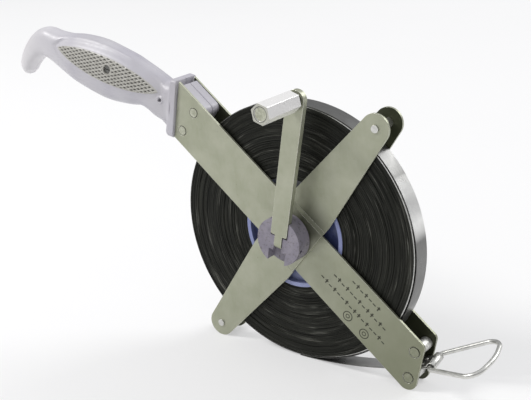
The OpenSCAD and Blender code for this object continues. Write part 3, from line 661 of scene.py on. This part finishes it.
def grip_relief(along, up, out):
    """Height added to the grip's side, with shares of soiled panel and of pit, at each place."""
    inside = panel_shape(along, up)
    faces_out = smoothstep(3.0, 5.0, out)
    panel = smoothstep(-0.2, 0.3, inside) * faces_out
    pit = knurl(along, up) * smoothstep(0.2, 0.7, inside) * faces_out
    groove = np.exp(-((inside + 2.6) / 1.8) ** 2) * (0.35 + 0.5 * smoothstep(0, 6, up - 5)) * faces_out
    lift = 0.35 * smoothstep(-0.4, 0.5, inside) * faces_out - 0.50 * pit - groove
    from_screw = np.hypot(along - SCREW_AT[0], up - SCREW_AT[1])
    plain = smoothstep(3.0, 3.6, from_screw)
    pit = pit * plain
    lift = lift * plain + (1 - plain) * 0.3
    from_hole = np.hypot(along - LANYARD_AT[0], up - LANYARD_AT[1])
    lift += 0.35 * np.exp(-((from_hole - 1.75) / 0.45) ** 2) * faces_out
    return lift, panel, pit, from_screw, from_hole


def grip_half(side):
    """Points, faces and shading shares of a closed half of the grip: side is -1 in front, 1 behind."""
    rings, columns = 430, 150
    fine = spline(GRIP, np.linspace(0, len(GRIP) - 1, 2000))
    spine = even_steps(fine, rings)
    heading = np.arctan2(np.gradient(spine[:, 1]), np.gradient(spine[:, 0]))
    angle = np.radians(np.linspace(90, -90, 361))
    root = lambda v: np.sign(v) * np.abs(v) ** (2 / GRIP_POWER)
    points = np.zeros((rings, columns, 3))
    shares = np.zeros((rings, columns, 2))
    for i in range(rings):
        along0, up0, half_h, half_t = spine[i]
        flare = 1.1 * math.exp(-max(along0, 0) / 1.4)
        high, wide = half_h + flare, half_t + flare
        section = np.stack([high * root(np.sin(angle)), wide * root(np.cos(angle))], -1)
        across, out = even_steps(section, columns).T
        along = along0 + across * math.cos(heading[i] + math.pi / 2)
        up = up0 + across * math.sin(heading[i] + math.pi / 2)
        lift, panel, pit, from_screw, from_hole = grip_relief(along, up, out)
        if along0 < 92:
            out = out + lift
            out = np.where(from_screw < 2.35, 7.2, out)
            out = np.where(from_hole < 1.0, out - 4.5, out)
            shares[i] = np.stack([panel, pit], -1)
        seam = 0.20 * np.exp(-(out / 0.22) ** 2)
        shrink = 1 - seam / max(half_h, 1)
        along = along0 + (along - along0) * shrink
        up = up0 + (up - up0) * shrink
        points[i] = in_handle(along, up, mid_y + side * (out + 0.01))
    faces = grid_faces(rings, columns)
    last = (rings - 1) * columns
    faces += [(i * columns, (i + 1) * columns, (i + 1) * columns + columns - 1, i * columns + columns - 1)
              for i in range(rings - 1)]
    faces += [tuple(range(columns)), tuple(range(last, last + columns))]
    return points.reshape(-1, 3), faces, shares.reshape(-1, 2)


def rounded_outline(corners, steps=8):
    """Outline through [x, y, radius] corners, listed anticlockwise, with round corners."""
    outline = []
    count = len(corners)
    for i, (x, y, radius) in enumerate(corners):
        here = np.array([x, y], float)
        back = np.array(corners[i - 1][:2], float) - here
        on = np.array(corners[(i + 1) % count][:2], float) - here
        back, on = back / np.linalg.norm(back), on / np.linalg.norm(on)
        if radius <= 0:
            outline.append(here)
            continue
        half = math.acos(float(np.clip(back @ on, -1, 1))) / 2
        reach = radius / math.tan(half)
        centre = here + (back + on) / np.linalg.norm(back + on) * radius / math.sin(half)
        start, end = here + back * reach - centre, here + on * reach - centre
        a0, a1 = math.atan2(start[1], start[0]), math.atan2(end[1], end[0])
        turn = (a1 - a0 + math.pi) % (2 * math.pi) - math.pi
        for k in range(steps + 1):
            a = a0 + turn * k / steps
            outline.append(centre + radius * np.array([math.cos(a), math.sin(a)]))
    return np.array(outline)


def pillow(outline, low, high, round_low, round_high, place):
    """Closed slab over an outline, from low to high, its two rims rounded. place maps (x, y, height)."""
    steps = 4
    centre = outline.mean(0)
    inward = centre - outline
    inward /= np.linalg.norm(inward, axis=1)[:, None]
    rows = []
    for k in range(steps + 1):
        a = math.pi / 2 * k / steps
        rows.append((round_low * (1 - math.sin(a)), low + round_low * (1 - math.cos(a))))
    for k in range(steps + 1):
        a = math.pi / 2 * k / steps
        rows.append((round_high * (1 - math.cos(a)), high - round_high * (1 - math.sin(a))))
    layers = [(outline + inward * shrink, height) for shrink, height in rows]
    points = np.concatenate([place(o[:, 0], o[:, 1], np.full(len(o), h)) for o, h in layers])
    count = len(outline)
    faces = grid_faces(len(layers), count, False, True)
    faces += [tuple(range(count)), tuple(range((len(layers) - 1) * count, len(layers) * count))]
    return points, faces


def guard_half(side):
    """The guard across the handle's root: thicker towards its lower end."""
    proud = 1.7
    half = mid_y + proud
    outline = rounded_outline([(-15.9, 0.04, 0), (15.9, 0.04, 0), (15.9, half, 2.2), (-15.9, half, 2.2)])

    def place(up, out, along):
        swell = 1 + 0.10 * np.clip(-up / 16, -1, 1)
        return in_handle(along * swell, up, mid_y + side * out)

    return pillow(outline, -4.1, 0.15, 0.7, 1.1, place)


def plug_half(side):
    """The plug between the frame's sides, with a groove along its joint."""
    low, high, end = -13.2, 13.3, -74.6
    outline = rounded_outline([(-94, low, 0), (end, low, 2.6), (end, high, 3.4), (-94, high, 0)])
    inner, outer = 0.05, mid_y - plate_t - 0.05

    def place(s, t, out):
        return in_bar(s, t, mid_y + side * out)

    return pillow(outline, inner, outer, 0.45, 0.25, place)


def merge(*parts):
    points, faces, start = [], [], 0
    for part_points, part_faces in parts:
        points.append(part_points)
        faces += [tuple(start + k for k in face) for face in part_faces]
        start += len(part_points)
    return np.concatenate(points), faces


def make_handle(material):
    for side, name, node in ((-1, "handle_shell_front", "handle_front_shell"),
                             (1, "handle_shell_back", "handle_back_shell")):
        grip_points, grip_faces, shares = grip_half(side)
        points, faces = merge((grip_points, grip_faces), guard_half(side), plug_half(side))
        shell = turn_outward(new_piece(name, reel(points), faces))
        for k, label in enumerate(("panel", "pit")):
            values = np.zeros(len(points), np.float32)
            values[: len(shares)] = shares[:, k]
            shell.data.attributes.new(label, "FLOAT", "POINT").data.foreach_set("value", values)
        split_edges(shell, 50)
        keep(shell, "frame", material, "handle_plastic", node)


# ---------- the tape ----------


def node_radius(name):
    low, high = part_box(name)
    return (high.x - low.x) / 2 / MM


def node_middle(name):
    """Centre of a CAD node, in reel millimetres."""
    low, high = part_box(name)
    return (np.array(low) + np.array(high)) / 2 / MM - np.array(HUB) / MM


def node_span_y(name):
    low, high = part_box(name)
    return (low.y - HUB.y) / MM, (high.y - HUB.y) / MM


def make_wound_tape(edge_material, face_material):
    """The wound tape: bundles of turns whose edges stand at slightly different depths."""
    inner, outer = node_radius("drum") + 0.02, node_radius("tape_pack")
    front, back = node_span_y("tape_pack")
    segments = 240
    angle = np.linspace(0, 2 * math.pi, segments, endpoint=False)
    radius, widths = inner, []
    while radius < outer - 0.9:
        widths.append(random.choice((0.25, 0.25, 0.5, 0.5, 0.75, 0.75)))
        radius += widths[-1]
    widths.append(outer - radius)
    rows_front, rows_back = [], []
    radius, drift = inner, 0.15
    for width in widths:
        drift = min(max(drift + random.gauss(0, 0.07), 0.02), 0.45)
        step = drift + (random.uniform(0.10, 0.30) if random.random() < 0.16 else 0)
        sway = random.uniform(0.0, 0.09)
        phase, waves = random.uniform(0, 2 * math.pi), random.choice((1, 2, 2, 3))
        depth = np.clip(step + sway * np.sin(waves * angle + phase), 0.01, 0.8)
        share = (radius - inner) / (outer - inner)
        shift = 0.22 * share * (1 - share) * 4 * np.sin(angle + 5 * share)
        for at, sunk in ((0.03, 0.10), (0.08, 0.0), (width - 0.08, 0.0), (width - 0.03, 0.10)):
            ring = radius + at + shift
            x, z = ring * np.cos(angle), ring * np.sin(angle)
            rows_front.append(np.stack([x, front + depth + sunk, z], -1))
            rows_back.append(np.stack([x, back - depth - sunk, z], -1))
        radius += width
    rim = [np.stack([outer * np.cos(angle), np.full(segments, y), outer * np.sin(angle)], -1)
           for y in np.linspace(front + 0.04, back - 0.04, 5)]
    core = [np.stack([inner * np.cos(angle), np.full(segments, y), inner * np.sin(angle)], -1)
            for y in (back - 0.4, front + 0.4)]
    rows = rows_front + rim + rows_back[::-1] + core
    points = np.concatenate(rows)
    pack = new_piece("wound_tape", reel(points), grid_faces(len(rows), segments, True, True))
    turn_outward(pack)
    keep(pack, "drum", [edge_material, face_material], "tape_wound", "tape_pack")
    first_rim = len(rows_front)
    for polygon in pack.data.polygons:
        row = polygon.index // segments
        if first_rim <= row < first_rim + len(rim) - 1:
            polygon.material_index = 1
    split_edges(pack, 40)


def strip_rows(centre, normal, half_width, half_thick, across):
    """Rows of points round a thin strip's section, with a centre, normal and width direction per row."""
    edge = 0.35 * half_thick
    section = [(-half_width, -half_thick + edge), (-half_width + edge, -half_thick)]
    section += [(x * half_width, -half_thick) for x in (-0.6, -0.2, 0.2, 0.6)]
    section += [(half_width - edge, -half_thick), (half_width, -half_thick + edge)]
    section += [(half_width, half_thick - edge), (half_width - edge, half_thick)]
    section += [(x * half_width, half_thick) for x in (0.6, 0.2, -0.2, -0.6)]
    section += [(-half_width + edge, half_thick), (-half_width, half_thick - edge)]
    rows = []
    for c, n, w in zip(centre, normal, across):
        rows.append([c + w * x + n * z for x, z in section])
    return np.array(rows), len(section)


def paint_strip_edges(piece, columns):
    """Gives the strip's two thin edges the second material."""
    thin = {columns - 1, 0, 6, 7, 8, columns - 2}
    for polygon in piece.data.polygons:
        if polygon.index % columns in thin:
            polygon.material_index = 1


def slack(angle):
    """0 to 1: how far the last turn has sprung outwards, which it does on the right side."""
    turned = np.degrees((angle + math.pi) % (2 * math.pi) - math.pi)
    return smoothstep(-80, -42, turned) * (1 - smoothstep(45, 105, turned))


def make_sprung_turns(face_material, bright_material, dark_material):
    """The turns under the loose one: sprung outwards too, with a painted highlight on the edges of the
    outermost.
    """
    inner = node_radius("tape_pack") + 0.02
    front, back = node_span_y("tape_pack")
    count = 360
    angle = np.linspace(0, 2 * math.pi, count, endpoint=False)
    middle = inner + 0.02 + 1.35 * slack(angle)
    outer = middle + 0.03 + 0.50 * slack(angle)
    section = [(radius, front) for radius in (inner, middle, outer)]
    section += [(radius, back) for radius in (outer, middle, inner)]
    rows = np.stack([
        np.stack([radius * np.cos(angle), np.full(count, y), radius * np.sin(angle)], -1)
        for radius, y in section
    ], 1)
    faces = grid_faces(count, len(section), True, True)
    turns = new_piece("sprung_turns", reel(rows.reshape(-1, 3)), faces)
    turn_outward(turns)
    keep(turns, "drum", [face_material, bright_material, dark_material], "tape_bright")
    # Painted highlight: the edge bands of the outermost turns take the bright material.
    sides = (2, 1, 0, 1, 2, 2)
    for polygon in turns.data.polygons:
        polygon.material_index = sides[polygon.index % len(section)]
    split_edges(turns, 40)


def make_loose_turn(face_material, edge_material):
    middle = node_middle("tape_outer_turn")
    outer = node_radius("tape_outer_turn")
    front, back = node_span_y("tape_outer_turn")
    count = 360
    angle = np.linspace(0, 2 * math.pi, count, endpoint=False)
    normal = np.stack([np.cos(angle), 0 * angle, np.sin(angle)], -1)
    reach = outer - tape_t / 2 + 1.8 * slack(angle)[:, None]
    centre = np.array([middle[0], (front + back) / 2, middle[2]]) + normal * reach
    across = np.tile([0.0, 1.0, 0.0], (count, 1))
    rows, columns = strip_rows(centre, normal, (back - front) / 2, tape_t / 2, across)
    turn = new_piece("loose_turn", reel(rows), grid_faces(count, columns, True, True))
    turn_outward(turn)
    keep(turn, "drum", [face_material, edge_material], "tape_bright", "tape_outer_turn")
    paint_strip_edges(turn, columns)
    split_edges(turn, 40)


RING_AT = (76.5, -53.0)
RING_PITCH, RING_TWIST = math.radians(19.3), math.radians(8.5)
LEAF_LEN = 9.5
LOOP_R, LOOP_T = 1.85, 0.45


def in_ring(along, across, up):
    """A place in the ring's own space, in reel millimetres."""
    tc, ts = math.cos(RING_TWIST), math.sin(RING_TWIST)
    pc, ps = math.cos(RING_PITCH), math.sin(RING_PITCH)
    y, z = across * tc - up * ts, across * ts + up * tc
    return np.stack([RING_AT[0] + along * pc - z * ps, mid_y + y, RING_AT[1] + along * ps + z * pc], -1)


def tail_curve():
    """The tape's free end: an arc from below the wound tape to the end loop, as points and slopes."""
    leaf = np.array(RING_AT) - LEAF_LEN * np.array([math.cos(RING_PITCH), math.sin(RING_PITCH)])
    low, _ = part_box("tape_tail")
    start_r = (HUB.z - low.z) / MM - tape_t / 2
    start_at = lambda slope: start_r * np.array([math.sin(slope), -math.cos(slope)])

    def error(slope):
        d = leaf - start_at(slope)
        return math.atan2(d[1], d[0]) - (slope + RING_PITCH) / 2

    lo, hi = math.radians(-5), RING_PITCH - math.radians(2)
    for _ in range(40):
        mid = (lo + hi) / 2
        lo, hi = (mid, hi) if error(mid) * error(lo) > 0 else (lo, mid)
    start = start_at(lo)
    radius = np.linalg.norm(leaf - start) / (2 * math.sin((RING_PITCH - lo) / 2))
    slopes = np.linspace(lo, RING_PITCH, 90)
    x = start[0] + radius * (np.sin(slopes) - math.sin(lo))
    z = start[1] + radius * (math.cos(lo) - np.cos(slopes))
    end = np.array(RING_AT) - 2.4 * np.array([math.cos(RING_PITCH), math.sin(RING_PITCH)])
    x = np.concatenate([x, np.linspace(x[-1], end[0], 12)[1:]])
    z = np.concatenate([z, np.linspace(z[-1], end[1], 12)[1:]])
    slopes = np.concatenate([slopes, np.full(11, RING_PITCH)])
    return x, z, slopes


def make_tail(face_material, edge_material):
    x, z, slopes = tail_curve()
    part = np.clip((slopes - slopes[0]) / (slopes[-1] - slopes[0]), 0, 1)
    twist = RING_TWIST * part**4
    centre = np.stack([x, np.full(len(x), mid_y), z], -1)
    up = np.stack([-np.sin(slopes), 0 * x, np.cos(slopes)], -1)
    side = np.array([0.0, 1.0, 0.0])
    across = side * np.cos(twist)[:, None] + up * np.sin(twist)[:, None]
    normal = up * np.cos(twist)[:, None] - side * np.sin(twist)[:, None]
    rows, columns = strip_rows(centre, normal, 4.9, tape_t / 2, across)
    faces = grid_faces(len(rows), columns, False, True)
    faces += [tuple(range(columns)), tuple(range((len(rows) - 1) * columns, len(rows) * columns))]
    tail = turn_outward(new_piece("tape_end", reel(rows), faces))
    keep(tail, "frame", [face_material, edge_material], "tape_bright", "tape_tail")
    paint_strip_edges(tail, columns)
    split_edges(tail, 40)


def make_end_loop(material):
    """A strip of sheet folded round the ring's bar, its two leaves clamping the tape."""
    middle = LOOP_R + LOOP_T / 2
    clamp = tape_t / 2 + 0.03 + LOOP_T / 2
    waist = math.asin(min(1, (clamp + 0.5) / middle))
    bend = np.linspace(math.pi - waist, waist - math.pi, 40)
    circle = np.stack([middle * np.cos(bend), middle * np.sin(bend)], -1)
    neck = -middle * math.cos(waist)
    leaf = [[-LEAF_LEN, clamp], [-LEAF_LEN * 0.6, clamp]]
    upper = np.array(leaf + [[neck - 1.6, clamp], [neck - 0.7, clamp + 0.12]])
    path = np.concatenate([upper, circle, upper[::-1] * [1, -1]])
    u = np.linspace(0, len(path) - 1, 160)
    path = even_steps(spline(path, u), 150)
    tangent = np.gradient(path, axis=0)
    tangent /= np.linalg.norm(tangent, axis=1)[:, None]
    normal = np.stack([-tangent[:, 1], tangent[:, 0]], -1)
    half, thick = 5.0, LOOP_T / 2
    edge = 0.12
    section = [(-half, -thick + edge), (-half + edge, -thick), (half - edge, -thick), (half, -thick + edge),
               (half, thick - edge), (half - edge, thick), (-half + edge, thick), (-half, thick - edge)]
    rows = []
    for p, n in zip(path, normal):
        rows.append([in_ring(p[0] + n[0] * z, w, p[1] + n[1] * z) for w, z in section])
    rows = np.array(rows)
    faces = grid_faces(len(rows), len(section), False, True)
    faces += [tuple(range(8)), tuple(range((len(rows) - 1) * 8, len(rows) * 8))]
    loop = turn_outward(new_piece("folded_loop", reel(rows), faces))
    keep(loop, "frame", material, "bright_zinc", "tape_end_loop")
    split_edges(loop, 50)


def make_end_ring(material):
    """The closed wire ring: straight sides, round bends and a slightly bulging far side."""
    length, bulge, far_half, bar_half, wire_r = 31.0, 1.8, 17.0, 6.9, 1.2
    outline = rounded_outline([
        (0, -bar_half, 2.2), (length - bulge, -far_half, 7.0), (length + bulge, 0, 26.0),
        (length - bulge, far_half, 7.0), (0, bar_half, 2.2)
    ], 14)
    closed = np.concatenate([outline, outline[:1]])
    path = even_steps(closed, 221)[:-1]
    tangent = np.roll(path, -1, 0) - np.roll(path, 1, 0)
    tangent /= np.linalg.norm(tangent, axis=1)[:, None]
    sides = 20
    rows = []
    for p, t in zip(path, tangent):
        a = np.linspace(0, 2 * math.pi, sides, endpoint=False)
        off, up = wire_r * np.cos(a), wire_r * np.sin(a)
        rows.append(in_ring(p[0] + off * t[1], p[1] - off * t[0], up))
    ring = new_piece("ring_wire", reel(np.array(rows)), grid_faces(len(rows), sides, True, True))
    keep(turn_outward(ring), "ring", material, "bright_zinc", "end_ring")


# ---------- everything ----------


def finish_cad_nodes():
    zinc, edge = plate_finish(), worn_edge_finish()
    bright, rivet = bright_zinc_finish(), rivet_finish()
    # Near black for the rivets' rounded rims: painted shade in the gap round each head.
    grime_and_shade = dull_finish("grime_and_shade", (0.035, 0.035, 0.025), 0.2, 0.6)
    special = {
        # The front plates carry a painted shadow of the crank and hub; the main bar also its stamped marks
        # and painted shade rings round the guide pins.
        "front_main_bar": plate_finish("zinc_plate_stamped_and_shaded", stamped=True, crank_shadow=True),
        "front_cross_arm": plate_finish("zinc_plate_crank_shadow", crank_shadow=True),
        "back_main_bar": plate_finish("zinc_plate_back", shaded_side=-1.0),
    }
    special["back_cross_arm"] = special["back_main_bar"]
    special["knob_pin"] = rivet
    for name in ("upper_guide_roller", "lower_guide_roller"):
        special[name] = bright_zinc_finish("roller_zinc", (0.84, 0.84, 0.81), 0.42)
    bush = dull_finish("bush_plastic", (0.60, 0.57, 0.47), 0.0, 0.45)
    brass = dull_finish("bush_brass", (0.56, 0.42, 0.18), 0.95, 0.3)
    screw = dull_finish("dark_screw", (0.20, 0.20, 0.19), 0.8, 0.4)
    washer = dull_finish("knob_washer_steel", (0.16, 0.16, 0.14), 0.8, 0.45)
    hub, drum, knob = hub_finish(), drum_finish(), knob_finish()
    edges = tape_edge_finish()
    rounding = {
        "zinc_plate": 0.14, "bright_zinc": 0.12, "zinc_rivet": 0.18, "hub_plastic": 0.35,
        "drum_plastic": 0.25, "knob_aluminium": 0.25, "dark_screw": 0.15,
    }
    finishes = {
        "zinc_plate": zinc, "bright_zinc": bright, "zinc_rivet": rivet, "dark_screw": screw,
        "bush_plastic": bush, "bush_brass": brass, "hub_plastic": hub, "drum_plastic": drum,
        "tape_wound": edges, "tape_bright": edges, "knob_washer_steel": washer, "knob_aluminium": knob,
        "handle_plastic": zinc,
    }
    edge_finishes = {"zinc_plate": edge, "zinc_rivet": grime_and_shade}
    for part in frame["record"]["subparts"]:
        piece, slot = nodes[part["node"]], part["material_slot"]
        piece.data.materials.clear()
        piece.data.materials.append(special.get(part["node"], finishes[slot]))
        if slot in edge_finishes:
            piece.data.materials.append(edge_finishes[slot])
        if slot in rounding:
            soften(piece, rounding[slot], edge_material=1 if slot in edge_finishes else None)
    return bright, edges


add_camera()
light_scene()
add_floor()
bright_zinc, tape_edges = finish_cad_nodes()
tape_face, thin_edge = tape_face_finish(), tape_thin_edge_finish()
make_handle(handle_finish())
make_wound_tape(tape_edges, tape_face)
make_sprung_turns(tape_face, dull_finish("painted_highlight_edges", (0.58, 0.58, 0.56), 0.8, 0.34), tape_edges)
make_loose_turn(tape_face, thin_edge)
make_tail(tape_face, thin_edge)
make_end_loop(bright_zinc)
make_end_ring(bright_zinc)
